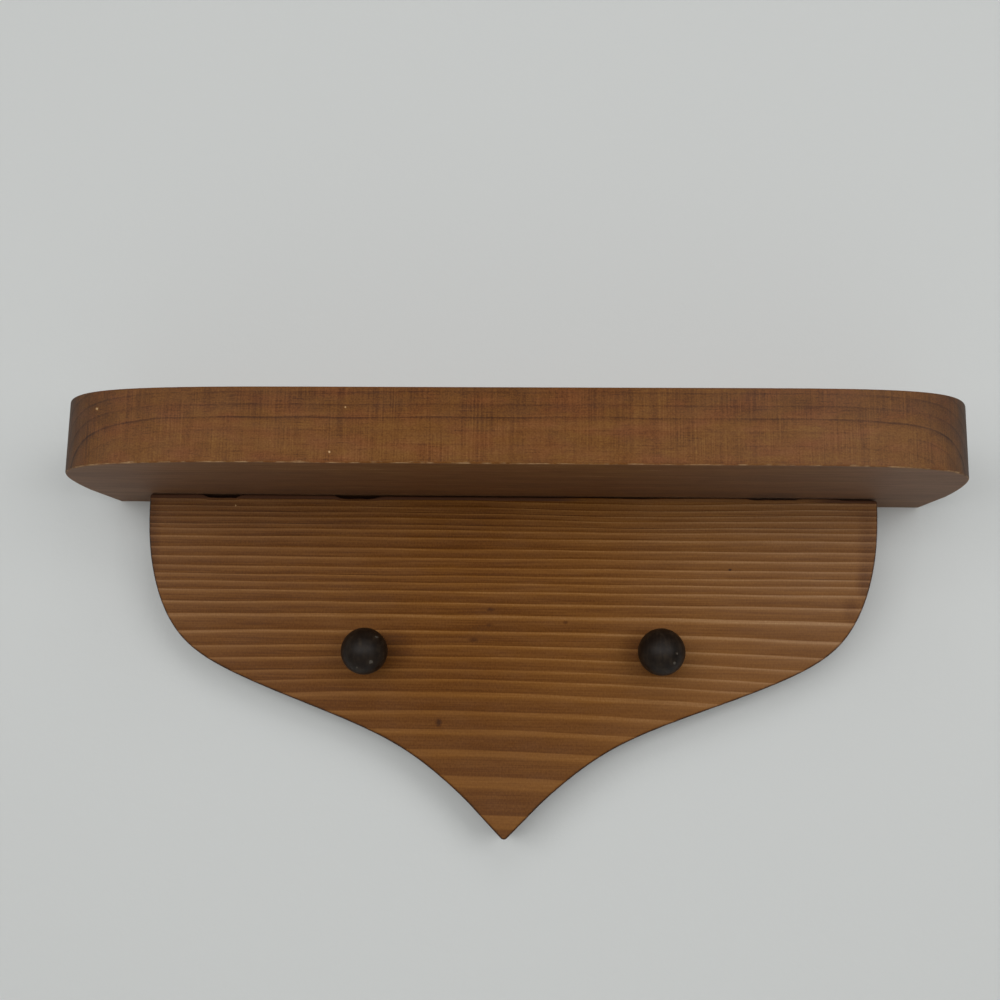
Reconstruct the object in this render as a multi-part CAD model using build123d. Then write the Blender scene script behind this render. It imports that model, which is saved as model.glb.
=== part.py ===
from build123d import *
from math import cos, radians, sin
import os

# A small wall shelf in the Shaker manner: a thick shelf board stands on a cut-out back board that
# carries two ball pegs, and two keyhole hangers let into the back hang it on wall screws.
# Millimetres. +X is right as seen from the front, -Y points out of the wall and +Z is up.
# The origin is on the wall face, midway between the points where the two wall screws carry it.

# Shelf board
shelf_length = 313.4
shelf_depth = 79.2
shelf_thickness = 25.4
shelf_shift = 1.3              # the shelf sits this far to the right of the back board's middle
shelf_end_taper = 2.3          # each end narrows by this much from the front to the wall
left_corner_run = 89.5         # length of the rounded front corner, along the shelf
right_corner_run = 72.6
left_corner_depth = 54.1       # and back towards the wall
right_corner_depth = 55.2
corner_fullness = 0.88         # 1 would be a square corner
shelf_arris = 0.8              # round on the sawn edges

# Back board
board_thickness = 19.0
board_half_width = 134.8
board_height = 123.1
board_arris = 1.2
tip_radius = 1.6
tip_slope = 45.0               # degrees from level, where the sides run into the point
# the ogee of one side: three points as (in from the side, drop below the board's top edge)
shoulder = (1.6, 22.9)
shoulder_turn = (15.1, 53.3)
waist_start = (35.0, 66.0)
# and three as (out from the middle, drop below the board's top edge)
waist = (51.3, 85.0)
waist_end = (32.0, 95.2)
point_start = (13.5, 110.1)

# Ball pegs
left_peg_offset = -49.9        # from the board's middle
right_peg_offset = 54.9
left_peg_drop = 58.1           # below the board's top edge
right_peg_drop = 57.0
ball_diameter = 16.6
ball_standoff = 11.3           # from the board's face to the middle of the ball
neck_diameter = 7.6
neck_cove = 1.0                # small hollow round where the neck meets the ball
tenon_diameter = 6.4
tenon_length = 12.0
tenon_chamfer = 0.6
glue_gap = 0.05                # all round a glued tenon or plug
glue_pocket = 1.0              # left at the bottom of a tenon's hole

# Screws that hold the shelf to the top edge of the back board, under wooden plugs
shelf_screw_spacing = 80.0
shelf_screw_count = 3
shelf_screw_length = 44.4
shelf_screw_diameter = 4.2
shelf_screw_head_diameter = 8.2
plug_diameter = 9.5
plug_length = 5.5
plug_head_gap = 0.3            # between a plug and the screw's head
screw_hole_gap = 0.05          # all round a screw's shank
screw_hole_spare = 1.0         # a pilot hole is this much deeper than its screw

# Keyhole hangers let into the back
hanger_inset = 29.8            # from the back board's side to the middle of the plate
hanger_drop = 22.0             # from the board's top edge to the middle of the slot's upper end
plate_width = 16.0
plate_length = 45.0
plate_thickness = 1.6
plate_gap = 0.1                # all round the plate in its recess
plate_corner = 4.0
plate_rise = 17.5              # from the slot's upper end to the plate's top
slot_width = 5.0
slot_run = 10.0                # from the slot's upper end down to the entry hole
entry_diameter = 9.5
pocket_width = 11.0            # room for the wall screw's head behind the plate
pocket_depth = 7.0
hanger_screw_inset = 5.0       # from each end of the plate
hanger_screw_length = 12.7
hanger_screw_diameter = 2.8
hanger_screw_head_diameter = 5.6

# Every screw here has a 90 degree countersunk head with one straight slot
driver_slot_width_share = 0.14
driver_slot_depth_share = 0.16
screw_tip_share = 1.2          # length of the pointed tip in shank diameters

board_top = hanger_drop
shelf_top = board_top + shelf_thickness
board_front = -board_thickness


def into_back(solid, x, z):
    """Lays a piece made pointing down so that it points out of the back face, towards the front."""
    return Pos(x, 0, z) * Rot(-90, 0, 0) * solid


def shelf_outline():
    """The shelf seen from above: straight at the wall, with full rounded corners at the front."""
    left_end = shelf_shift - shelf_length / 2
    right_end = shelf_shift + shelf_length / 2
    left_back = (left_end + shelf_end_taper, 0)
    right_back = (right_end - shelf_end_taper, 0)
    left_side = (left_end, -(shelf_depth - left_corner_depth))
    right_side = (right_end, -(shelf_depth - right_corner_depth))
    left_front = (left_end + left_corner_run, -shelf_depth)
    right_front = (right_end - right_corner_run, -shelf_depth)
    left_pull = ((left_end, left_side[1] - corner_fullness * left_corner_depth),
                 (left_front[0] - corner_fullness * left_corner_run, -shelf_depth))
    right_pull = ((right_front[0] + corner_fullness * right_corner_run, -shelf_depth),
                  (right_end, right_side[1] - corner_fullness * right_corner_depth))
    edges = [
        Line(left_back, left_side),
        Bezier(left_side, *left_pull, left_front),
        Line(left_front, right_front),
        Bezier(right_front, *right_pull, right_side),
        Line(right_side, right_back),
        Line(right_back, left_back),
    ]
    return make_face(edges)


def board_outline():
    """The back board seen from the front: straight top, ogee sides and a rounded point."""
    bottom = board_top - board_height
    slope = radians(tip_slope)
    tip_end = (tip_radius * sin(slope), bottom + tip_radius * (1 - cos(slope)))
    upper = [(board_half_width - inset, drop) for inset, drop in (shoulder, shoulder_turn, waist_start)]
    ogee = [*upper, waist, waist_end, point_start]
    right = [(board_half_width, board_top), *[(half, board_top - drop) for half, drop in ogee], tip_end]
    left = [(-x, z) for x, z in right]
    right_side = Spline(*right, tangents=[(0, -1), (-cos(slope), -sin(slope))])
    left_side = Spline(*left, tangents=[(0, -1), (cos(slope), -sin(slope))])
    tip = ThreePointArc(right[-1], (0, bottom), left[-1])
    return make_face([right_side, tip, left_side, Line(left[0], right[0])])


def turned(profile):
    """Turns a closed profile of (radius, height) points and edges about the Z axis."""
    return revolve(Plane.XZ * make_face(profile), Axis.Z)


def wood_screw(length, diameter, head_diameter):
    """A countersunk wood screw pointing down, with the top of its head at z = 0."""
    shank = diameter / 2
    head = head_diameter / 2
    head_height = head - shank
    tip = diameter * screw_tip_share
    corners = [(0, 0), (head, 0), (shank, -head_height), (shank, tip - length), (0, -length)]
    cut_width = head_diameter * driver_slot_width_share
    cut_depth = head_diameter * driver_slot_depth_share
    driver_slot = Box(head_diameter * 2, cut_width, cut_depth * 2)
    return turned(Polyline(*corners, close=True)) - driver_slot


def screw_hole(length, diameter, head_diameter):
    """The countersunk pilot hole that a wood screw goes into, pointing down from z = 0."""
    shank = diameter / 2 + screw_hole_gap
    head = head_diameter / 2
    sink = head - shank
    bottom = -(length + screw_hole_spare)
    corners = [(0, 0), (head, 0), (shank, -sink), (shank, bottom), (0, bottom)]
    return turned(Polyline(*corners, close=True))


def shelf_screw_places():
    """Where the shelf's screws stand, in plan, over the middle of the back board's top edge."""
    first = -shelf_screw_spacing * (shelf_screw_count - 1) / 2
    return [(first + i * shelf_screw_spacing, board_front / 2) for i in range(shelf_screw_count)]


shelf_screw_top = shelf_top - plug_length - plug_head_gap


def shelf_screw_holes():
    """Each shelf screw's hole, through the shelf and on into the back board."""
    hole = screw_hole(shelf_screw_length, shelf_screw_diameter, shelf_screw_head_diameter)
    return [Pos(x, y, shelf_screw_top) * hole for x, y in shelf_screw_places()]


def make_shelf_board():
    """The shelf, with eased edges and a counterbored hole for each screw and its plug."""
    blank = extrude(Pos(0, 0, board_top) * shelf_outline(), shelf_thickness)
    low_to_high = blank.faces().sort_by(Axis.Z)
    outer_edges = low_to_high[0].edges() + low_to_high[-1].edges()
    at_wall = blank.faces().sort_by(Axis.Y)[-1].edges()
    eased = fillet([edge for edge in outer_edges if edge not in at_wall], shelf_arris)
    bore_depth = plug_length + plug_head_gap
    bore = Cylinder(plug_diameter / 2, bore_depth, align=(Align.CENTER, Align.CENTER, Align.MAX))
    for x, y in shelf_screw_places():
        eased -= Pos(x, y, shelf_top) * bore
    for hole in shelf_screw_holes():
        eased -= hole
    return eased


def peg_places():
    """Each peg's place on the board's face, as (name, x, z)."""
    return [
        ("left_peg", left_peg_offset, board_top - left_peg_drop),
        ("right_peg", right_peg_offset, board_top - right_peg_drop),
    ]


def peg_profile():
    """Half of a peg's section as (radius, height) edges: tenon below z = 0, neck and ball above."""
    ball = ball_diameter / 2
    neck = neck_diameter / 2
    tenon = tenon_diameter / 2
    cove_reach = ball + neck_cove
    cove_out = neck + neck_cove
    cove_height = ball_standoff - (cove_reach**2 - cove_out**2) ** 0.5
    on_ball = (cove_out * ball / cove_reach, ball_standoff - (ball_standoff - cove_height) * ball / cove_reach)
    corners = [
        (0, -tenon_length),
        (tenon - tenon_chamfer, -tenon_length),
        (tenon, tenon_chamfer - tenon_length),
        (tenon, 0),
        (neck, 0),
        (neck, cove_height),
    ]
    crown = (0, ball_standoff + ball)
    stem = Polyline(*corners)
    cove = TangentArc(corners[-1], on_ball, tangent=(0, 1))
    round_ball = ThreePointArc(on_ball, (ball, ball_standoff), crown)
    return [*stem.edges(), cove, round_ball, Line(crown, corners[0])]


def make_peg():
    """One turned peg, pointing up from its shoulder at z = 0."""
    return turned(peg_profile())


def facing_front(solid, x, z):
    """Turns a piece made pointing up so that it points out of the board's face."""
    return Pos(x, board_front, z) * Rot(90, 0, 0) * solid


def hanger_places():
    """Each hanger's place, as (name, x)."""
    reach = board_half_width - hanger_inset
    return [("left_keyhole_hanger", -reach), ("right_keyhole_hanger", reach)]


def upright_slot(width, low, high):
    """A slot with round ends whose end circles are centred at two heights, in the wall plane."""
    return Pos(0, (low + high) / 2) * SlotCenterToCenter(high - low, width, rotation=90)


def hanger_screw_heights():
    """The heights of a plate's two screws, counted from the slot's upper end."""
    return [plate_rise - hanger_screw_inset, plate_rise - plate_length + hanger_screw_inset]


def plate_outline(gap):
    """A hanger plate seen from behind, grown by a gap all round."""
    middle = plate_rise - plate_length / 2
    outline = RectangleRounded(plate_width + 2 * gap, plate_length + 2 * gap, plate_corner + gap)
    return Pos(0, middle) * outline


def behind(face, x, depth):
    """Sinks a flat outline into the back face to a depth."""
    return Pos(x, 0, 0) * extrude(Plane.XZ * face, depth)


def hanger_screw_hole():
    return screw_hole(hanger_screw_length, hanger_screw_diameter, hanger_screw_head_diameter)


def make_hanger(x):
    """One pressed steel plate with a keyhole and two countersunk screw holes."""
    plate = behind(plate_outline(0), x, plate_thickness)
    plate -= behind(upright_slot(slot_width, -slot_run, 0), x, plate_thickness)
    plate -= behind(Pos(0, -slot_run) * Circle(entry_diameter / 2), x, plate_thickness)
    for height in hanger_screw_heights():
        plate -= into_back(hanger_screw_hole(), x, height)
    return plate


def make_back_board():
    """The back board, with its sunk hangers, its pegs' holes and the shelf screws' pilot holes."""
    blank = extrude(Plane.XZ * board_outline(), board_thickness)
    ogee_edges = blank.faces().sort_by(Axis.Y)[0].edges().sort_by(Axis.Z)[:-1]
    board = fillet(ogee_edges, board_arris)
    top_edge = board.faces().sort_by(Axis.Z)[-1].edges().sort_by(Axis.Y)[0]
    board = fillet(top_edge, board_arris)
    hole_radius = tenon_diameter / 2 + glue_gap
    hole_depth = tenon_length + glue_pocket
    peg_hole = Cylinder(hole_radius, hole_depth, align=(Align.CENTER, Align.CENTER, Align.MAX))
    for name, x, z in peg_places():
        board -= facing_front(peg_hole, x, z)
    for hole in shelf_screw_holes():
        board -= hole
    for name, x in hanger_places():
        board -= behind(plate_outline(plate_gap), x, plate_thickness)
        board -= behind(upright_slot(pocket_width, -slot_run, 0), x, pocket_depth)
        for height in hanger_screw_heights():
            board -= into_back(hanger_screw_hole(), x, height)
    return board


def make_shelf_screws():
    """The screws that hold the shelf down on the back board."""
    screw = wood_screw(shelf_screw_length, shelf_screw_diameter, shelf_screw_head_diameter)
    return [Pos(x, y, shelf_screw_top) * screw for x, y in shelf_screw_places()]


def make_plugs():
    """The wooden plugs glued in over the shelf's screws."""
    radius = plug_diameter / 2 - glue_gap
    plug = Cylinder(radius, plug_length, align=(Align.CENTER, Align.CENTER, Align.MAX))
    return [Pos(x, y, shelf_top) * plug for x, y in shelf_screw_places()]


def make_hanger_screws():
    """The short screws that hold both hanger plates."""
    screw = wood_screw(hanger_screw_length, hanger_screw_diameter, hanger_screw_head_diameter)
    return [into_back(screw, x, height) for name, x in hanger_places() for height in hanger_screw_heights()]


def save(name, solids):
    """Writes one piece, or one group of like fasteners, under its own name."""
    shape = solids[0] if len(solids) == 1 else Compound(solids)
    export_step(shape, os.path.join("parts", name + ".step"))


os.makedirs("parts", exist_ok=True)
save("shelf_board", [make_shelf_board()])
save("back_board", [make_back_board()])
for peg_name, peg_x, peg_z in peg_places():
    save(peg_name, [facing_front(make_peg(), peg_x, peg_z)])
save("shelf_screws", make_shelf_screws())
save("screw_plugs", make_plugs())
for hanger_name, hanger_x in hanger_places():
    save(hanger_name, [make_hanger(hanger_x)])
save("hanger_screws", make_hanger_screws())
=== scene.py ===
from math import cos, exp, pi, radians, sin, sqrt

import bmesh
import bpy
import numpy as np
from mathutils import Matrix, Vector, noise


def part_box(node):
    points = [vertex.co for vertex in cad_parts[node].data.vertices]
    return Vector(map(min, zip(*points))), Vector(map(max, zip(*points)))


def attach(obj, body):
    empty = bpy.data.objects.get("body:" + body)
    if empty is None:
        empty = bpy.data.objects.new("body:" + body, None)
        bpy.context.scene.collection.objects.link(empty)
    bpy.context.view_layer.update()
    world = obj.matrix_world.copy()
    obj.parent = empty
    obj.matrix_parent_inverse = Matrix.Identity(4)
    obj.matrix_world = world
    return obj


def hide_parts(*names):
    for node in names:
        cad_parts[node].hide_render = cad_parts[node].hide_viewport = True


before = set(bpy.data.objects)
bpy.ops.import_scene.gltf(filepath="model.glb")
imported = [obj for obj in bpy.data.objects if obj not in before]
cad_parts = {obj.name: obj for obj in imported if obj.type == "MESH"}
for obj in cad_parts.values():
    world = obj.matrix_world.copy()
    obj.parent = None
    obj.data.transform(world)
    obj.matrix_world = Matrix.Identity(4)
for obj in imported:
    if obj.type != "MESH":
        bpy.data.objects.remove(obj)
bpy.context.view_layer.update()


# Camera
# The rail hangs on a wall, a little above the eye. The camera is held 44 cm from the wall, just
# below the shelf, and looks slightly up, so that the shelf's underside shows.
mm = 0.001
camera_place = Vector((16.5, -443.0, -51.1)) * mm
look_up = radians(9.567)
look_left = radians(2.65)
lean_over = radians(0.893)

camera = bpy.data.objects.new("camera", bpy.data.cameras.new("camera"))
camera.data.sensor_width = 36
camera.data.lens = 41.88
camera.data.clip_start = 10 * mm
turn = Matrix.Rotation(look_left, 4, "Z") @ Matrix.Rotation(pi / 2 + look_up, 4, "X")
camera.matrix_world = Matrix.Translation(camera_place) @ turn @ Matrix.Rotation(lean_over, 4, "Z")
bpy.context.scene.collection.objects.link(camera)
bpy.context.scene.camera = camera


# Back board
# One pine board sawn on the quarter, so that its growth rings run level across the face, then cut
# to an ogee and planed. The hard summer wood at the top of each ring stands proud of the soft
# spring wood and took less of the brown stain, so every ring shows as a raised light line.
board_low, board_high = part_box("back_board")
board_face = board_low.y
board_top = board_high.z
column_width = 2.5 * mm        # the mesh is cut into columns, so that the rings can bend
first_ring_drop = 1.9 * mm
ring_widths = [2.5, 2.2, 2.0, 2.5, 1.8, 2.9, 4.1, 3.4, 3.6, 3.0, 2.6, 3.1, 4.2, 4.3, 5.8, 5.2,
               4.2, 4.5, 3.6, 4.5, 6.6, 6.5, 7.3, 9.0, 13.2, 14.0]     # mm, from the top down
full_ring = 4.5 * mm           # a narrower ring has a fainter line
narrow_share = 0.7
full_drop = 36 * mm            # and so has one nearer the top edge than this
top_share = 0.84
point_drops = [50 * mm, 75 * mm]    # the lines grow fainter again between these, to the point
point_share = 0.66
line_rise = 0.14 * mm          # the summer wood ends this sharply at the top of its line
light_band = 0.4 * mm          # its light band, and how much of a ring beyond full_ring it takes
band_growth = 0.4
squeezed_ring = 3.2 * mm       # a ring narrower than this has a narrower band too
fading = [(0, 1), (0.35, 0.62), (0.8, 0.36), (1.5, 0.16)]    # mm below the band, summer wood there
carving_depth = 0.18 * mm
straight_rings = 37.8 * mm     # rings nearer the top edge than this run straight
ring_bow = 9.4                 # per square metre, for each metre further down
bow_middle = -20 * mm
ring_dip = 1.05 * mm           # under the shelf the rings sag by this, to the right of the middle
dip_middle = 50 * mm
dip_reach = 42 * mm
dip_height = 26 * mm           # and this far down they run level again
ring_slant = 0.16              # the rings drop by this share of the thickness towards the front
ripple_depth = 0.16 * mm
ripples = [(9, 2.1), (23, -5)]      # each turns by a radian in so many mm along and down the board
level_rounds = 8
# hollows where the planed top edge doesn't quite meet the shelf: middle, half length, depth in mm
edge_hollows = [(-108, 6.8, 1.6), (-56, 8.8, 1.6), (4, 54, 0.3), (97, 9, 0.6), (128, 8, 0.5)]
hollow_reach = 6 * mm
hollow_height = 4 * mm
hollow_cuts = [2, 3.5, 6]      # mm behind the face
hollow_ends = 7                # how steep a hollow's ends are
ragged_size = 3 * mm
board_stain = [(0, "#2a1200"), (0.3, "#5c3200"), (0.55, "#7c4e18"), (0.75, "#956938"),
               (1, "#c9ab80")]
# the pale grey of the painted sheen, also mixed in at the point
pale_grey = "#c4bab0"
# the brown of the painted shade in the corner under the shelf
corner_shade_brown = "#4a2e20"
# broad and fine figure in the stain: mm along the board, mm across it, detail, share of the tone
board_figure = [(80, 2.2, 3, 0.12), (60, 25, 2, 0.12), (0.6, 0.9, 2, 0.24)]
# small marks: place in mm, half sizes in mm, change of tone
board_marks = [
    ((-23.9, -19, -60.8), (1.5, 3, 1.9), -0.25),     # pin knots
    ((80.9, -19, -4.6), (0.7, 3, 0.5), -0.5),
    ((21.3, -19, -24.4), (1.2, 3, 0.8), -0.2),
    ((-5.9, -19, -20.1), (1.8, 3, 0.8), -0.2),       # smudges of old stain
    ((-6.4, -19, -25.6), (1.5, 3, 0.8), -0.12),
    ((-11.9, -19, -31.2), (2.2, 3, 1), -0.18),
    # darker strips down both side edges, along the outline
    ((128.6, -19, -9), (3.4, 3, 8), -0.14),
    ((124, -19, -19), (4, 3, 6), -0.12),
    ((131, -19, 3), (5, 3, 24), -0.12),
    ((-135, -19, -2), (6, 3, 34), -0.2),
    ((-42, -19, -34), (10, 3, 8), -0.12),            # painted shadow of each peg's ball, on its side towards the middle
    ((50, -19, -34), (10, 3, 9), -0.14),
    ((-101.9, -19, 17.6), (0.5, 3, 0.4), 0.6),       # a fleck of paint
]


def joined_mesh(node):
    """A copy of one of the frame's pieces, with its loose triangles joined at their corners."""
    piece = bmesh.new()
    piece.from_mesh(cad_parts[node].data)
    bmesh.ops.remove_doubles(piece, verts=piece.verts, dist=0.002 * mm)
    return piece


def slice_across(piece, direction, places):
    """Cuts a piece's surface square to a direction, at each place, and marks the cuts as seams."""
    for place in places:
        whole = piece.verts[:] + piece.edges[:] + piece.faces[:]
        cut = bmesh.ops.bisect_plane(piece, geom=whole, dist=0.0001 * mm,
                                     plane_co=direction * place, plane_no=direction)
        for part in cut["geom_cut"]:
            if isinstance(part, bmesh.types.BMEdge):
                part.seam = True


def even_places(low, high, step):
    """Evenly spaced places between two limits, about a step apart."""
    count = round((high - low) / step)
    return [low + (high - low) * i / count for i in range(1, count)]


def drop_flat_edges(piece):
    """Removes the edges that a flat face doesn't need, apart from the cuts."""
    loose = [edge for edge in piece.edges if not edge.seam]
    bmesh.ops.dissolve_limit(piece, angle_limit=radians(0.05), verts=piece.verts, edges=loose,
                             delimit={"SEAM"})


def ring_rows():
    """Each level at which the board is cut, from the top down, with the summer wood's share there."""
    rows = []
    top = board_top - first_ring_drop + ring_widths[0] * mm
    for width in [ring_widths[0], *ring_widths]:
        width = width * mm
        drop = board_top - top
        strength = min(1, narrow_share + (1 - narrow_share) * width / full_ring)
        strength *= min(1, top_share + (1 - top_share) * drop / full_drop)
        strength *= np.interp(drop, point_drops, [1, point_share])
        squeeze = min(1, width / squeezed_ring)
        band = light_band + band_growth * max(0, width - full_ring)
        rows += [(top + line_rise * squeeze, 0), (top - line_rise * squeeze, strength)]
        rows += [(top - (band + below * mm) * squeeze, light * strength) for below, light in fading]
        top -= width
    return rows


def lie_of_ring(x, y, level):
    """The height at which a ring's level really lies: bowed to both sides, and slanting."""
    drop = board_top - level
    bow = ring_bow * max(0, drop - straight_rings) * (x - bow_middle) ** 2
    bow += ring_dip * exp(-((x - dip_middle) / dip_reach) ** 2) * max(0, 1 - drop / dip_height)
    waves = [sin(x / (along * mm) + level / (down * mm)) for along, down in ripples]
    return level - bow + ripple_depth * sum(waves) / len(waves) + ring_slant * (y - board_face)


def level_of_ring(x, y, height):
    """The straightened level of a point, the reverse of lie_of_ring, found step by step."""
    level = height
    for _ in range(level_rounds):
        level += height - lie_of_ring(x, y, level)
    return level


def new_piece(name, piece, nodes, material, smooth_below=35):
    """Makes a mesh into an object that stands for CAD nodes and rides on the frame's one body."""
    mesh = bpy.data.meshes.new(name)
    piece.to_mesh(mesh)
    piece.free()
    if mesh.has_custom_normals:     # a copy still holds the normals of the loose triangles
        mesh.attributes.remove(mesh.attributes["custom_normal"])
    mesh.shade_smooth()
    mesh.set_sharp_from_angle(angle=radians(smooth_below))
    mesh.materials.append(material)
    thing = bpy.data.objects.new(name, mesh)
    bpy.context.scene.collection.objects.link(thing)
    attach(thing, "root")
    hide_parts(*nodes)
    return thing


def carve_back_board():
    """The board's mesh, cut along its rings, with the spring wood sunk and the top edge worn."""
    piece = joined_mesh("back_board")
    slice_across(piece, Vector((1, 0, 0)), even_places(board_low.x, board_high.x, column_width))
    drop_flat_edges(piece)
    slice_across(piece, Vector((0, 1, 0)), [board_face + reach * mm for reach in hollow_cuts])
    rows = ring_rows()
    for vert in piece.verts:
        vert.co.z = level_of_ring(*vert.co)
    levels, lights = zip(*reversed(rows))
    slice_across(piece, Vector((0, 0, 1)), reversed(levels))
    summer = piece.verts.layers.float.new("summer_wood")
    for vert in piece.verts:
        vert[summer] = np.interp(vert.co.z, levels, lights)
        vert.co.z = lie_of_ring(*vert.co)
    bmesh.ops.remove_doubles(piece, verts=piece.verts, dist=0.002 * mm)
    piece.normal_update()
    for vert in piece.verts:
        facing = max(0, -vert.normal.y)
        vert.co.y += carving_depth * (1 - vert[summer]) * facing
        sink_edge(vert)
    for edge in piece.edges:
        edge.seam = False
    return piece


def sink_edge(vert):
    """Lowers a point of the top edge into the hollow that it lies in."""
    below = (board_top - vert.co.z) / hollow_height
    inwards = 1 - (vert.co.y - board_face) / hollow_reach
    if below > 1 or inwards < 0:
        return
    for middle, half, depth in edge_hollows:
        across = abs(vert.co.x - middle * mm) / (half * mm)
        if across < 1:
            ragged = 0.8 + 0.4 * noise.noise(vert.co / ragged_size)
            share = min(1, hollow_ends * (1 - across)) * min(1, 2 * inwards) * (1 - below) ** 2
            vert.co.z -= depth * mm * share * ragged


def colour(code):
    """Turns an sRGB hex code into the linear colour that a shader reads."""
    shares = [int(code[i:i + 2], 16) / 255 for i in (1, 3, 5)]
    return [s / 12.92 if s <= 0.04045 else ((s + 0.055) / 1.055) ** 2.4 for s in shares] + [1]


def add(tree, kind, inputs=None, stops=(), **settings):
    """Adds a node to a material, with its settings and its inputs, each a value or a link.

    On a colour ramp, each stop is a hex code or, where the ramp is a mask, a share of white.
    """
    node = tree.nodes.new("ShaderNode" + kind)
    for name, value in settings.items():
        setattr(node, name, value)
    for name, value in (inputs or {}).items():
        if isinstance(value, bpy.types.NodeSocket):
            tree.links.new(value, node.inputs[name])
        else:
            node.inputs[name].default_value = value
    for i, (place, shade) in enumerate(stops):
        stop = node.color_ramp.elements[i] if i < 2 else node.color_ramp.elements.new(place)
        stop.position = place
        stop.color = colour(shade) if isinstance(shade, str) else [shade, shade, shade, 1]
    return node


def new_material(name):
    """An empty node material."""
    material = bpy.data.materials.new(name)
    material.use_nodes = True
    material.node_tree.nodes.clear()
    return material, material.node_tree


def grain(tree, along, across, detail=3):
    """A pattern drawn out along the board: its features are about this long and this wide."""
    place = add(tree, "TexCoord").outputs["Object"]
    scale = (1 / along, 1 / across, 1 / across)
    drawn = add(tree, "Mapping", {"Vector": place, "Scale": scale}).outputs["Vector"]
    return add(tree, "TexNoise", {"Vector": drawn, "Scale": 1, "Detail": detail}).outputs["Fac"]


def stain(tree, tone, pattern, share, middle=0.5):
    """Lets the stain's tone follow a pattern by a share; the pattern's middle changes nothing."""
    swing = add(tree, "Math", {0: pattern, 1: middle}, operation="SUBTRACT").outputs[0]
    return add(tree, "Math", {0: swing, 1: share, 2: tone}, operation="MULTIPLY_ADD").outputs[0]


def mark(tree, tone, marks):
    """Adds small marks with rough outlines to a tone."""
    place = add(tree, "TexCoord").outputs["Object"]
    rough = add(tree, "TexNoise", {"Vector": place, "Scale": 1.6 / mm, "Detail": 2}).outputs["Color"]
    shift = add(tree, "VectorMath", {0: rough, "Scale": 0.8 * mm}, operation="SCALE").outputs[0]
    place = add(tree, "VectorMath", {0: place, 1: shift}, operation="ADD").outputs[0]
    mean_shift = Vector((0.4, 0.4, 0.4))
    for where, sizes, change in marks:
        centre = (Vector(where) + mean_shift) * mm
        off = add(tree, "VectorMath", {0: place, 1: centre}, operation="SUBTRACT").outputs[0]
        size = Vector(sizes) * mm
        off = add(tree, "VectorMath", {0: off, 1: size}, operation="DIVIDE").outputs[0]
        away = add(tree, "VectorMath", {0: off}, operation="LENGTH").outputs["Value"]
        inside = add(tree, "MapRange", {"Value": away, "From Min": 0.3, "From Max": 1,
                                        "To Min": change, "To Max": 0}).outputs["Result"]
        tone = add(tree, "Math", {0: tone, 1: inside}, operation="ADD").outputs[0]
    return tone


def oiled_wood(tree, wood, tone, fibres, fibre_height, shine):
    """Ends a wood material: a thin oil that leaves the fibres standing a little."""
    gloss = stain(tree, 0.62, tone, -0.15)
    bump = add(tree, "Bump", {"Height": fibres, "Strength": 1, "Distance": fibre_height})
    surface = add(tree, "BsdfPrincipled", {"Base Color": wood, "Roughness": gloss,
                                           "Normal": bump.outputs["Normal"],
                                           "Specular IOR Level": shine})
    add(tree, "OutputMaterial", {"Surface": surface.outputs["BSDF"]})


def painted_sheen_at_ends(tree, wood, sheen_weight):
    """Painted sheen: both boards are mixed a little paler and greyer, in patches and most at the
    ends.
    """
    across = add(tree, "SeparateXYZ", {0: add(tree, "TexCoord").outputs["Object"]}).outputs["X"]
    across = add(tree, "MapRange", {"Value": across, "From Min": -160 * mm, "From Max": 160 * mm})
    share = add(tree, "ValToRGB", {"Fac": across.outputs["Result"]}, [
        (0, 0.07), (0.15, 0.04), (0.42, 0), (0.6, 0.005), (0.85, 0.07)]).outputs["Color"]
    share = add(tree, "Math", {0: share, 1: sheen_weight}, operation="MULTIPLY").outputs[0]
    patches = add(tree, "MapRange", {"Value": grain(tree, 11 * mm, 4 * mm), "From Min": 0.42,
                                     "From Max": 0.7, "To Min": 0, "To Max": 0.008}).outputs[0]
    share = add(tree, "Math", {0: share, 1: patches}, operation="ADD").outputs[0]
    # a Mix node's colours are its inputs 6 and 7, and its output 2
    return add(tree, "Mix", {"Factor": share, 6: wood, 7: colour(pale_grey)},
               data_type="RGBA").outputs[2]


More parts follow.
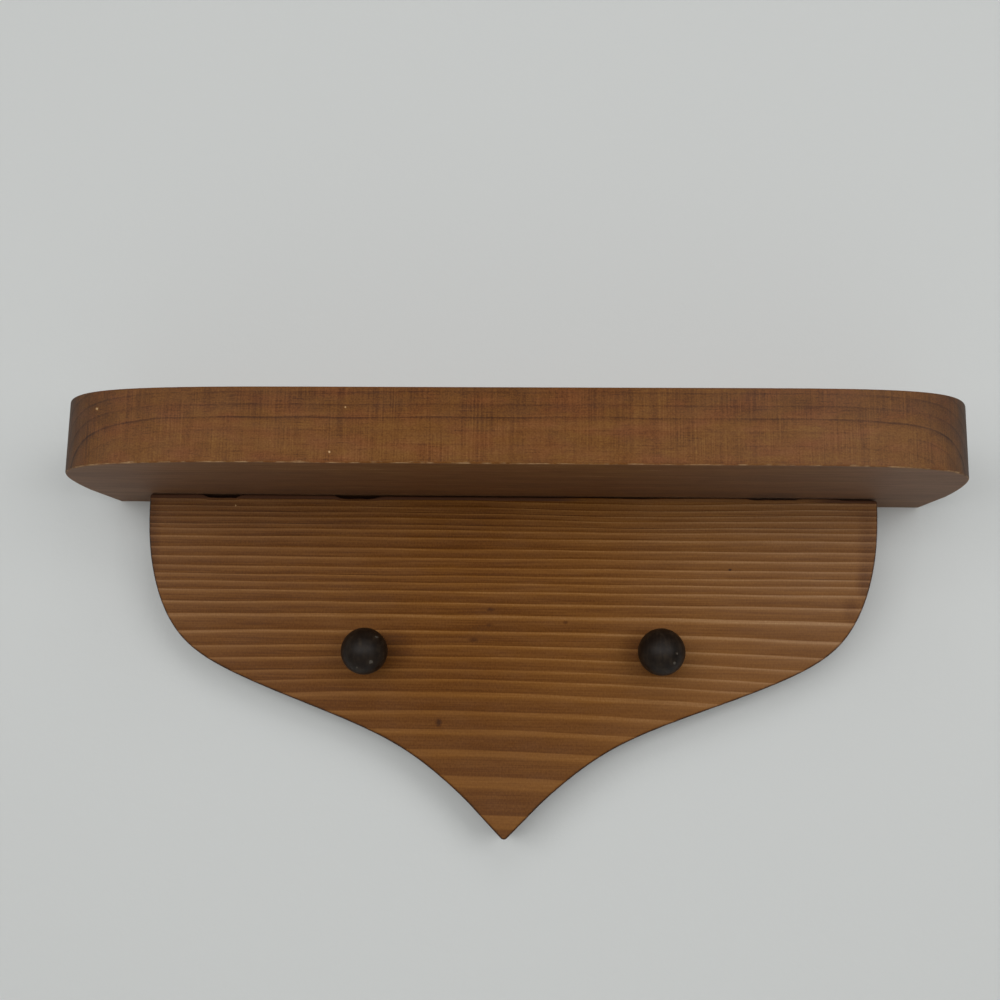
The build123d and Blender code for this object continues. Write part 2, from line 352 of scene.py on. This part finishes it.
def stained_pine_face():
    """Quarter-sawn pine, brown stain under thin oil: dark spring wood, lighter summer lines."""
    material, tree = new_material("stained_pine_quarter_sawn")
    place = add(tree, "SeparateXYZ", {0: add(tree, "TexCoord").outputs["Object"]})
    across = place.outputs["X"]
    height = place.outputs["Z"]
    summer = add(tree, "Attribute", attribute_name="summer_wood").outputs["Fac"]
    tone = stain(tree, 0.3, summer, 0.275, 0)
    # pine fibres are about 0.03 mm wide, too fine to show, so bundles of them are drawn
    fibres = grain(tree, 24 * mm, 0.5 * mm, 4)
    coarse = add(tree, "MapRange", {"Value": height, "From Min": -15 * mm, "From Max": -55 * mm,
                                    "To Min": 0.42, "To Max": 0.24}).outputs["Result"]
    tone = stain(tree, tone, fibres, coarse)
    for along, width, detail, share in board_figure:
        tone = stain(tree, tone, grain(tree, along * mm, width * mm, detail), share)
    # the tone rises a little towards the point, and painted light lifts the right half
    point = add(tree, "MapRange", {"Value": height, "From Min": 10 * mm, "From Max": -60 * mm,
                                   "To Min": 0.015, "To Max": 0.02}).outputs["Result"]
    tone = add(tree, "Math", {0: tone, 1: point}, operation="ADD").outputs[0]
    right = add(tree, "MapRange", {"Value": across, "From Min": -10 * mm, "From Max": 70 * mm,
                                   "To Min": 0, "To Max": 0.11}).outputs["Result"]
    tone = add(tree, "Math", {0: tone, 1: right}, operation="ADD").outputs[0]
    # the cut edge darkens as it turns sideways: partly end grain's stain, partly painted shade
    normal = add(tree, "NewGeometry").outputs["Normal"]
    flatness = add(tree, "SeparateXYZ", {0: normal}).outputs["Y"]
    flatness = add(tree, "Math", {0: flatness}, operation="ABSOLUTE").outputs[0]
    edge = add(tree, "MapRange", {"Value": flatness, "From Min": 0.96, "From Max": 0.6,
                                  "To Min": 0, "To Max": -0.45}).outputs["Result"]
    tone = add(tree, "Math", {0: tone, 1: edge}, operation="ADD").outputs[0]
    tone = mark(tree, tone, board_marks)
    wood = add(tree, "ValToRGB", {"Fac": tone}, board_stain).outputs["Color"]
    # painted sheen, strongest on the summer wood's crests and towards the ends
    wood = painted_sheen_at_ends(tree, wood, stain(tree, 0.5, summer, 1, 0))
    # the point is mixed a little paler and greyer towards its tip
    rubbed = add(tree, "MapRange", {"Value": height, "From Min": -50 * mm, "From Max": -85 * mm,
                                    "To Min": 0.003, "To Max": 0.02}).outputs["Result"]
    wood = add(tree, "Mix", {"Factor": rubbed, 6: wood, 7: colour(pale_grey)},
               data_type="RGBA").outputs[2]
    # painted shade: a dark brown band in the corner under the shelf, though little right of the
    # middle
    corner = add(tree, "MapRange", {"Value": height, "From Min": board_top - 1.95 * mm,
                                    "From Max": board_top - 1.6 * mm}).outputs["Result"]
    from_lit_stretch = add(tree, "Math", {0: across, 1: 68 * mm}, operation="SUBTRACT").outputs[0]
    from_lit_stretch = add(tree, "Math", {0: from_lit_stretch}, operation="ABSOLUTE").outputs[0]
    wax = add(tree, "MapRange", {"Value": from_lit_stretch, "From Min": 40 * mm, "From Max": 50 * mm,
                                 "To Min": 0.15, "To Max": 0.8}).outputs["Result"]
    wax = add(tree, "Math", {0: corner, 1: wax}, operation="MULTIPLY").outputs[0]
    wood = add(tree, "Mix", {"Factor": wax, 6: wood, 7: colour(corner_shade_brown)},
               data_type="RGBA").outputs[2]
    oiled_wood(tree, wood, tone, fibres, 0.04 * mm, 0.12)
    return material


new_piece("carved_back_board", carve_back_board(), ["back_board"],
          stained_pine_face())


# Shelf board
# A thick pine board from near the heart of the tree, so its rings are tight circles that run along
# the sawn front edge and sweep down round both corners. Its edge keeps the band saw's fine upright
# marks, and the lower front arris is rubbed pale.
shelf_low, shelf_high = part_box("shelf_board")
slice_width = 2.5 * mm
slice_height = 3 * mm
heart = Vector((0, -86.7, 15.5)) * mm
ring_spacing = 4.05 * mm
ring_start = 2.7 * mm
ring_wander = 3 * mm
rings_reach = 40 * mm          # the outermost ring's distance from the heart
saw_wave = 0.12 * mm
wave_length = 5 * mm
rubbed_depth = 0.2 * mm
rubbed_length = 6 * mm
bores_reach = Vector((100, 16)) * mm     # the screws' bores lie within this of the wall's middle
shelf_brown = [(0, "#2b1505"), (0.3, "#522e0e"), (0.5, "#6b4116"), (0.7, "#7f5521"),
               (1, "#c7a67a")]
shelf_red = [(0, "#2c1306"), (0.3, "#532c0f"), (0.5, "#6e3f19"), (0.7, "#825128"),
             (1, "#c7a07a")]
end_grain = "#44362b"
planed_brown = "#7c573a"
bare_arris = "#a98862"
# broad and fine figure in the stain, as for the back board
shelf_figure = [(0.6, 0.5, 2, 0.42), (30, 6, 3, 0.16), (9, 6, 3, 0.16)]
shelf_marks = [
    ((65.4, -74.6, 22), (1.3, 1, 1), -0.3),          # dents in the underside
    ((77.3, -73.4, 22), (1, 1, 1), -0.3),
    ((89.3, -75.5, 22), (1.3, 1, 1), -0.3),
    ((101.2, -75.9, 22), (1, 1, 1), -0.3),
    ((18.7, -66.2, 22), (1, 1, 1), -0.25),
    ((97, -23, 22), (11, 8, 2), -0.6),               # painted shade on the underside beside the joint, for the dark gap there
    ((-51, -79.2, 40.4), (0.4, 2, 0.4), 0.5),        # flecks of paint
    ((-55.6, -79.2, 25.5), (0.5, 2, 0.6), 0.5),
    ((-135.5, -71.2, 41.2), (0.9, 4, 0.7), 0.6),
    ((136, -71, 43.5), (0.5, 4, 0.5), 0.6),
]


def tight_rings(tree, place):
    """The summer wood of rings that lie in circles about the heart, and how far out each is."""
    # the heart wanders along the board, as the trunk did
    slow = add(tree, "Mapping", {"Vector": place, "Scale": (1 / (60 * mm), 9, 9)}).outputs[0]
    drift = add(tree, "TexNoise", {"Vector": slow, "Scale": 1, "Detail": 2}).outputs["Color"]
    drift = add(tree, "VectorMath", {0: drift, 1: (0.5, 0.5, 0.5)}, operation="SUBTRACT").outputs[0]
    drift = add(tree, "VectorMath", {0: drift, "Scale": ring_wander}, operation="SCALE").outputs[0]
    off = add(tree, "VectorMath", {0: place, 1: heart}, operation="SUBTRACT").outputs[0]
    off = add(tree, "VectorMath", {0: off, 1: drift}, operation="ADD").outputs[0]
    off = add(tree, "VectorMath", {0: off, 1: (0, 1, 1)}, operation="MULTIPLY").outputs[0]
    radius = add(tree, "VectorMath", {0: off}, operation="LENGTH").outputs["Value"]
    count = add(tree, "Math", {0: radius, 1: ring_start}, operation="SUBTRACT").outputs[0]
    count = add(tree, "Math", {0: count, 1: ring_spacing}, operation="DIVIDE").outputs[0]
    share = add(tree, "Math", {0: count}, operation="FRACT").outputs[0]
    late = add(tree, "ValToRGB", {"Fac": share}, [
        (0, 1), (0.05, 0), (0.55, 0.1), (0.86, 0.35), (0.93, 1)]).outputs["Color"]
    # one ring is far stronger than its neighbours, and each comes and goes along the board
    out = add(tree, "Math", {0: radius, 1: rings_reach}, operation="DIVIDE").outputs[0]
    strength = add(tree, "ValToRGB", {"Fac": out}, [
        (0.3, 0.2), (0.48, 0.3), (0.57, 1), (0.64, 0.5), (1, 0.6)]).outputs["Color"]
    coming = add(tree, "MapRange", {"Value": grain(tree, 40 * mm, 3 * mm), "From Min": 0.35,
                                    "From Max": 0.6, "To Min": 0.35, "To Max": 1}).outputs[0]
    strength = add(tree, "Math", {0: strength, 1: coming}, operation="MULTIPLY").outputs[0]
    late = add(tree, "Math", {0: late, 1: strength}, operation="MULTIPLY").outputs[0]
    return late, radius


def saw_marks(tree, place, on_edge):
    """Fine upright marks, as close round the corners as along the front, and their depth."""
    upright = (2 / mm, 2 / mm, 0.035 / mm)
    upright = add(tree, "Mapping", {"Vector": place, "Scale": upright}).outputs[0]
    saw = add(tree, "TexNoise", {"Vector": upright, "Scale": 1, "Detail": 2}).outputs["Fac"]
    saw = add(tree, "MapRange", {"Value": saw, "From Min": 0.3, "From Max": 0.75}).outputs["Result"]
    patchy = add(tree, "MapRange", {"Value": grain(tree, 12 * mm, 9 * mm, 2), "From Min": 0.38,
                                    "From Max": 0.62, "To Min": 0.06, "To Max": 0.24}).outputs[0]
    patchy = add(tree, "Math", {0: on_edge, 1: patchy}, operation="MULTIPLY").outputs[0]
    return saw, add(tree, "Math", {0: patchy, 1: -1}, operation="MULTIPLY").outputs[0]


def stained_pine_edge():
    """Flat-sawn pine near the heart, brown stain under thin oil, with saw marks on its edge."""
    material, tree = new_material("stained_pine_band_sawn")
    place = add(tree, "TexCoord").outputs["Object"]
    late, radius = tight_rings(tree, place)
    outer = add(tree, "MapRange", {"Value": radius, "From Min": 21 * mm, "From Max": 26 * mm,
                                   "To Min": 0.54, "To Max": 0.46}).outputs["Result"]
    tone = stain(tree, outer, late, -0.25, 0)
    # bundles of fibres again, because one is too fine to show
    fibres = grain(tree, 18 * mm, 0.45 * mm, 4)
    tone = stain(tree, tone, fibres, 0.16)
    for along, width, detail, share in shelf_figure:
        tone = stain(tree, tone, grain(tree, along * mm, width * mm, detail), share)
    pores = add(tree, "MapRange", {"Value": grain(tree, 7 * mm, 0.35 * mm, 1), "From Min": 0.6,
                                   "From Max": 0.72}).outputs["Result"]
    tone = stain(tree, tone, pores, -0.12, 0)
    # the front and the corners are as the saw left them
    normal = add(tree, "SeparateXYZ", {0: add(tree, "NewGeometry").outputs["Normal"]})
    level = normal.outputs["Z"]
    flatness = add(tree, "Math", {0: level}, operation="ABSOLUTE").outputs[0]
    on_edge = add(tree, "MapRange", {"Value": flatness, "From Min": 0.1, "From Max": 0.4,
                                     "To Min": 1, "To Max": 0}).outputs["Result"]
    saw, cuts = saw_marks(tree, place, on_edge)
    tone = stain(tree, tone, saw, cuts, 0.4)
    strokes = (0.4 / mm, 0.4 / mm, 0.02 / mm)
    strokes = add(tree, "Mapping", {"Vector": place, "Scale": strokes}).outputs[0]
    strokes = add(tree, "TexNoise", {"Vector": strokes, "Scale": 1, "Detail": 2}).outputs["Fac"]
    deeper = add(tree, "Math", {0: on_edge, 1: 0.16}, operation="MULTIPLY").outputs[0]
    tone = stain(tree, tone, strokes, deeper)
    # the ends show end grain, which is darker and has stronger rings
    endness = add(tree, "Math", {0: normal.outputs["X"], 1: 2}, operation="POWER").outputs[0]
    tone = stain(tree, tone, endness, -0.14, 0)
    bands = add(tree, "Math", {0: late, 1: endness}, operation="MULTIPLY").outputs[0]
    tone = stain(tree, tone, bands, -0.5, 0)
    # the underside is planed, and shows long streaks
    underside = add(tree, "MapRange", {"Value": level, "From Min": -0.7,
                                       "From Max": -0.95}).outputs["Result"]
    streaks = add(tree, "Math", {0: underside, 1: 0.7}, operation="MULTIPLY").outputs[0]
    tone = stain(tree, tone, grain(tree, 60 * mm, 5 * mm), streaks)
    tone = stain(tree, tone, grain(tree, 12 * mm, 1.6 * mm, 4), streaks)
    tone = mark(tree, tone, shelf_marks)
    # the wood is browner and redder in turns
    brown = add(tree, "ValToRGB", {"Fac": tone}, shelf_brown).outputs["Color"]
    red = add(tree, "ValToRGB", {"Fac": tone}, shelf_red).outputs["Color"]
    redness = add(tree, "MapRange", {"Value": grain(tree, 14 * mm, 6 * mm), "From Min": 0.44,
                                     "From Max": 0.68}).outputs["Result"]
    wood = add(tree, "Mix", {"Factor": redness, 6: brown, 7: red}, data_type="RGBA").outputs[2]
    for where, share, code in ((endness, 0.9, end_grain), (underside, 0.58, planed_brown)):
        share = add(tree, "Math", {0: where, 1: share}, operation="MULTIPLY").outputs[0]
        wood = add(tree, "Mix", {"Factor": share, 6: wood, 7: colour(code)},
                   data_type="RGBA").outputs[2]
    # painted sheen and bounce light, strongest towards the ends and on the underside
    wood = painted_sheen_at_ends(tree, wood, stain(tree, 0.45, underside, 0.9, 0))
    # the lower arris is rubbed bare here and there
    rim = add(tree, "MapRange", {"Value": level, "From Min": -0.4, "From Max": -0.6}).outputs[0]
    rim_end = add(tree, "MapRange", {"Value": level, "From Min": -0.9, "From Max": -0.8}).outputs[0]
    rim = add(tree, "Math", {0: rim, 1: rim_end}, operation="MULTIPLY").outputs[0]
    rubbed = add(tree, "MapRange", {"Value": grain(tree, 4 * mm, 3 * mm), "From Min": 0.44,
                                    "From Max": 0.64, "To Min": 0, "To Max": 0.8}).outputs[0]
    rim = add(tree, "Math", {0: rim, 1: rubbed}, operation="MULTIPLY").outputs[0]
    wood = add(tree, "Mix", {"Factor": rim, 6: wood, 7: colour(bare_arris)},
               data_type="RGBA").outputs[2]
    depth = add(tree, "Math", {0: cuts, 1: 3}, operation="MULTIPLY").outputs[0]
    oiled_wood(tree, wood, tone, stain(tree, fibres, saw, depth), 0.04 * mm, 0.14)
    return material


def sawn_shelf():
    """The shelf's mesh, with its sawn edges a little uneven and its lower arris worn."""
    piece = joined_mesh("shelf_board")
    slice_across(piece, Vector((1, 0, 0)), even_places(shelf_low.x, shelf_high.x, slice_width))
    drop_flat_edges(piece)
    slice_across(piece, Vector((0, 1, 0)), even_places(shelf_low.y, shelf_high.y, slice_height))
    slice_across(piece, Vector((0, 0, 1)), even_places(shelf_low.z, shelf_high.z, slice_height))
    bmesh.ops.remove_doubles(piece, verts=piece.verts, dist=0.002 * mm)
    piece.normal_update()
    for vert in piece.verts:
        near_bores = abs(vert.co.x) < bores_reach.x and vert.co.y > -bores_reach.y
        if near_bores or vert.normal.y > 0.5:
            continue
        outwards = Vector((vert.normal.x, vert.normal.y, 0))
        plan = Vector((vert.co.x, vert.co.y, 0)) / wave_length
        sunk = saw_wave * (0.5 + 0.5 * noise.noise(plan))
        if -0.95 < vert.normal.z < -0.3:
            sunk += rubbed_depth * max(0, 0.2 + noise.noise(vert.co / rubbed_length))
        vert.co -= outwards * sunk
    for edge in piece.edges:
        edge.seam = False
    return piece


new_piece("sawn_shelf_board", sawn_shelf(), ["shelf_board"], stained_pine_edge())


# Screw plugs
# Three round plugs cut from pine offcuts are glued in over the shelf's screws and sanded flush.
# Their grain is turned a little away from the shelf's, so they can be seen from above.
plug_turn = radians(14)
plug_stain = [(0, "#2c160b"), (0.3, "#553016"), (0.5, "#70451f"), (1, "#8f6336")]


def dress(node, material):
    """Gives one of the frame's own pieces a finished material."""
    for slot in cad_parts[node].material_slots:
        slot.material = material


def stained_pine_plug():
    """Sanded pine, brown stain under thin oil: a fine face grain of dark and light streaks."""
    material, tree = new_material("stained_pine_plug")
    place = add(tree, "TexCoord").outputs["Object"]
    turned = add(tree, "Mapping", {"Vector": place, "Rotation": (0, 0, plug_turn),
                                   "Scale": (0.04 / mm, 0.7 / mm, 0.7 / mm)}).outputs["Vector"]
    rings = add(tree, "TexNoise", {"Vector": turned, "Scale": 1, "Detail": 3}).outputs["Fac"]
    # fibres in bundles, as on the boards
    fine = add(tree, "TexNoise", {"Vector": turned, "Scale": 4, "Detail": 3}).outputs["Fac"]
    tone = stain(tree, 0.52, rings, 0.5)
    tone = stain(tree, tone, fine, 0.3)
    wood = add(tree, "ValToRGB", {"Fac": tone}, plug_stain).outputs["Color"]
    oiled_wood(tree, wood, tone, fine, 0.03 * mm, 0.2)
    return material


dress("screw_plugs", stained_pine_plug())


# Shelf screws
# Three steel wood screws under the plugs draw the shelf down on the top edge of the back board.
# They are hidden once the plugs are in.
def zinc_plated_steel(name, pale, deep, brushed):
    """Zinc-plated steel, yellow passivated: a soft metal sheen with cloudy gold and grey tints."""
    material, tree = new_material(name)
    place = add(tree, "TexCoord").outputs["Object"]
    clouds = add(tree, "TexNoise", {"Vector": place, "Scale": 0.25 / mm, "Detail": 3}).outputs["Fac"]
    # tool marks are under 0.1 mm apart, too fine to show, so they are drawn coarser
    lines = add(tree, "Mapping", {"Vector": place, "Scale": brushed}).outputs["Vector"]
    lines = add(tree, "TexNoise", {"Vector": lines, "Scale": 1, "Detail": 4}).outputs["Fac"]
    plating = add(tree, "ValToRGB", {"Fac": clouds}, [(0.35, pale), (0.65, deep)])
    gloss = stain(tree, 0.36, lines, 0.25)
    gloss = stain(tree, gloss, clouds, 0.2)
    bump = add(tree, "Bump", {"Height": lines, "Distance": 0.01 * mm}).outputs["Normal"]
    metal = add(tree, "BsdfPrincipled", {"Base Color": plating.outputs["Color"], "Metallic": 1,
                                         "Roughness": gloss, "Normal": bump}).outputs["BSDF"]
    add(tree, "OutputMaterial", {"Surface": metal})
    return material


screw_steel = zinc_plated_steel("zinc_plated_turned_steel", "#cbb98c", "#b89f6c",
                                (0.5 / mm, 0.5 / mm, 3 / mm))
dress("shelf_screws", screw_steel)


# Pegs
# Each is a small ball turned on a lathe from beech, with its neck and a tenon that is glued into
# the board. It was stained nearly black and waxed, and dust has caught in the wax.
peg_corners = [(0, -12), (2.6, -12), (3.2, -11.4), (3.2, 0), (3.8, 0)]   # tenon and neck, mm
ball_radius = 8.3
ball_middle = 11.3             # from the board's face
cove_radius = 1.0
neck_radius = 3.8
turning_steps = 96
cove_steps = 4
ball_steps = 40
ball_wave = 0.06 * mm          # the slight unevenness of hand sanding
ball_wave_length = 2.6 * mm
peg_stain = [(0.1, "#110b07"), (0.5, "#1e1610"), (0.9, "#2f261c"), (1, "#4e4942")]
peg_dust = [
    ((-46.4, -36.7, -40.1), (0.8, 1, 0.8), 0.8),
    ((-51.5, -35.9, -42), (0.6, 1, 0.6), 0.6),
    ((-44.9, -34.8, -31.3), (1, 1, 0.5), 0.6),
    ((59.4, -37.2, -35.8), (0.7, 1, 0.7), 0.8),
    ((58.8, -36.4, -38.9), (0.7, 1, 0.7), 0.8),
]


def peg_section():
    """Half of a peg's section as (radius, height) points, from the tenon's end to the crown."""
    reach = ball_radius + cove_radius
    cove_out = neck_radius + cove_radius
    cove_rise = sqrt(reach ** 2 - cove_out ** 2)
    cove_height = ball_middle - cove_rise
    points = list(peg_corners)
    meeting = pi / 2 - np.arctan2(cove_out, cove_rise)
    for i in range(cove_steps + 1):
        turned = pi - meeting * i / cove_steps
        points.append((cove_out + cove_radius * cos(turned), cove_height + cove_radius * sin(turned)))
    start = -np.arctan2(cove_rise, cove_out)
    for i in range(1, ball_steps + 1):
        angle = start + (pi / 2 - start) * i / ball_steps
        points.append((ball_radius * cos(angle), ball_middle + ball_radius * sin(angle)))
    return points


def turned_peg(side):
    """One peg, spun on the line of its own hole."""
    low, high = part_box(side)
    axis = Vector(((low.x + high.x) / 2, 0, (low.z + high.z) / 2))
    piece = bmesh.new()
    path = [piece.verts.new((axis.x + radius * mm, board_face - height * mm, axis.z))
            for radius, height in peg_section()]
    for first, second in zip(path, path[1:]):
        piece.edges.new((first, second))
    bmesh.ops.spin(piece, geom=piece.verts[:] + piece.edges[:], cent=axis, axis=(0, 1, 0),
                   dvec=(0, 0, 0), angle=2 * pi, steps=turning_steps, use_merge=True,
                   use_duplicate=False)
    bmesh.ops.remove_doubles(piece, verts=piece.verts, dist=0.002 * mm)
    bmesh.ops.recalc_face_normals(piece, faces=piece.faces)
    piece.normal_update()
    for vert in piece.verts:
        if vert.co.y < board_face - 4 * mm:
            sunk = ball_wave * (0.5 + 0.5 * noise.noise(vert.co / ball_wave_length))
            vert.co -= vert.normal * sunk
    return piece


def stained_beech():
    """Turned beech, black-brown stain under wax: satin, with faint brush marks and dust."""
    material, tree = new_material("stained_beech_waxed")
    place = add(tree, "TexCoord").outputs["Object"]
    brushed = add(tree, "Mapping", {"Vector": place, "Scale": (1 / mm, 0.5 / mm, 0.16 / mm)})
    brushed = add(tree, "TexNoise", {"Vector": brushed.outputs[0], "Scale": 1, "Detail": 4})
    brushed = brushed.outputs["Fac"]
    mottle = add(tree, "TexNoise", {"Vector": place, "Scale": 0.4 / mm, "Detail": 3}).outputs["Fac"]
    tone = stain(tree, 0.5, brushed, 0.9)
    tone = stain(tree, tone, mottle, 1)
    tone = mark(tree, tone, peg_dust)
    wood = add(tree, "ValToRGB", {"Fac": tone}, peg_stain).outputs["Color"]
    gloss = stain(tree, 0.46, tone, 0.1)
    bump = add(tree, "Bump", {"Height": brushed, "Distance": 0.05 * mm})
    surface = add(tree, "BsdfPrincipled", {"Base Color": wood, "Roughness": gloss,
                                           "Normal": bump.outputs["Normal"],
                                           "Specular IOR Level": 0.16})
    add(tree, "OutputMaterial", {"Surface": surface.outputs["BSDF"]})
    return material


beech = stained_beech()
for side in ("left_peg", "right_peg"):
    new_piece("turned_" + side, turned_peg(side), [side], beech)


# Keyhole hangers
# Two plates pressed from sheet steel are let in flush at the back, near the upper corners. Each
# has a keyhole that drops over a wall screw. They are zinc plated and passivated yellow.
plate_burr = 0.25 * mm


def eased_copy(node, width):
    """A copy of one of the frame's pieces whose sharp edges are eased by a small bevel."""
    piece = joined_mesh(node)
    bmesh.ops.dissolve_limit(piece, angle_limit=radians(1), verts=piece.verts, edges=piece.edges)
    sharp = [edge for edge in piece.edges if edge.calc_face_angle(0) > radians(30)]
    bmesh.ops.bevel(piece, geom=sharp, affect="EDGES", offset=width, offset_type="OFFSET",
                    segments=2, profile=0.5, material=-1, clamp_overlap=True)
    return piece


plate_steel = zinc_plated_steel("zinc_plated_pressed_steel", "#c8b588", "#a98f62",
                                (3 / mm, 3 / mm, 0.1 / mm))
for side in ("left", "right"):
    node = side + "_keyhole_hanger"
    new_piece("pressed_" + node, eased_copy(node, plate_burr), [node], plate_steel)


# Hanger screws
# Two short steel wood screws hold each plate to the back board. Their slotted, countersunk heads
# lie flush with the plate, and they are zinc plated as the screws under the plugs are.
screw_burr = 0.12 * mm

new_piece("slotted_hanger_screws", eased_copy("hanger_screws", screw_burr), ["hanger_screws"],
          screw_steel)


# Stage
# The rail hangs on a plain wall with pale matt paint, 1.2 m above a pale floor. Soft square lamps
# stand in front of it and to both sides, and one behind the wall lights the rail's back.
wall_colour = "#ced0cf"
floor_colour = "#d6d6d3"
room_colour = "#d8dad8"
floor_depth = -1.2


def pale_paint(name, code):
    """Matt wall paint with the fine stipple of a roller."""
    material, tree = new_material(name)
    place = add(tree, "TexCoord").outputs["Object"]
    stipple = add(tree, "TexNoise", {"Vector": place, "Scale": 0.25 / mm, "Detail": 3})
    bump = add(tree, "Bump", {"Height": stipple.outputs["Fac"], "Distance": 0.08 * mm})
    paint = add(tree, "BsdfPrincipled", {"Base Color": colour(code), "Roughness": 0.7,
                                         "Normal": bump.outputs["Normal"]}).outputs["BSDF"]
    return material, tree, paint


def flat_panel(name, width, height, place):
    """A flat panel for the stage, facing up before its place turns it."""
    panel = bmesh.new()
    bmesh.ops.create_grid(panel, x_segments=1, y_segments=1, size=0.5)
    bmesh.ops.transform(panel, matrix=place @ Matrix.Diagonal((width, height, 1, 1)),
                        verts=panel.verts)
    mesh = bpy.data.meshes.new(name)
    panel.to_mesh(mesh)
    thing = bpy.data.objects.new(name, mesh)
    bpy.context.scene.collection.objects.link(thing)
    return thing


def see_through_wall():
    """The wall shows from the front only, so that the rail's back can be looked at and lit."""
    material, tree, paint = pale_paint("wall_paint", wall_colour)
    shadow = add(tree, "LightPath").outputs["Is Shadow Ray"]
    behind = add(tree, "NewGeometry").outputs["Backfacing"]
    open_to = add(tree, "Math", {0: shadow, 1: behind}, operation="MAXIMUM").outputs[0]
    nothing = add(tree, "BsdfTransparent").outputs["BSDF"]
    surface = add(tree, "MixShader", {0: open_to, 1: paint, 2: nothing}).outputs["Shader"]
    add(tree, "OutputMaterial", {"Surface": surface})
    return material


wall_place = Matrix.Translation((0, 0.2 * mm, 0)) @ Matrix.Rotation(pi / 2, 4, "X")
wall = flat_panel("wall", 4, 3, wall_place)
wall.data.materials.append(see_through_wall())
floor = flat_panel("floor", 6, 6, Matrix.Translation((0, 0, floor_depth)))
floor_paint, floor_tree, floor_surface = pale_paint("floor_paint", floor_colour)
add(floor_tree, "OutputMaterial", {"Surface": floor_surface})
floor.data.materials.append(floor_paint)


def soft_lamp(name, place, size, power):
    """A square lamp that points at the rail's middle."""
    lamp = bpy.data.lights.new(name, "AREA")
    lamp.size = size
    lamp.energy = power
    thing = bpy.data.objects.new(name, lamp)
    thing.location = place
    thing.rotation_euler = (-Vector(place)).to_track_quat("-Z", "Y").to_euler()
    bpy.context.scene.collection.objects.link(thing)


soft_lamp("upper_lamp", (0.1, -1.2, 0.9), 0.8, 2.2)
soft_lamp("left_lamp", (-0.75, -1.25, 0.15), 0.8, 5.2)
soft_lamp("right_lamp", (0.75, -1.25, 0.15), 0.8, 6.5)
soft_lamp("front_lamp", (-0.15, -1.7, 0.1), 0.6, 5.6)
soft_lamp("back_lamp", (0.4, 1.3, 0.6), 0.8, 12)

world = bpy.data.worlds.new("room")
world.use_nodes = True
light = world.node_tree.nodes["Background"]
light.inputs["Color"].default_value = colour(room_colour)
light.inputs["Strength"].default_value = 0.26
bpy.context.scene.world = world
bpy.context.scene.view_settings.view_transform = "Standard"
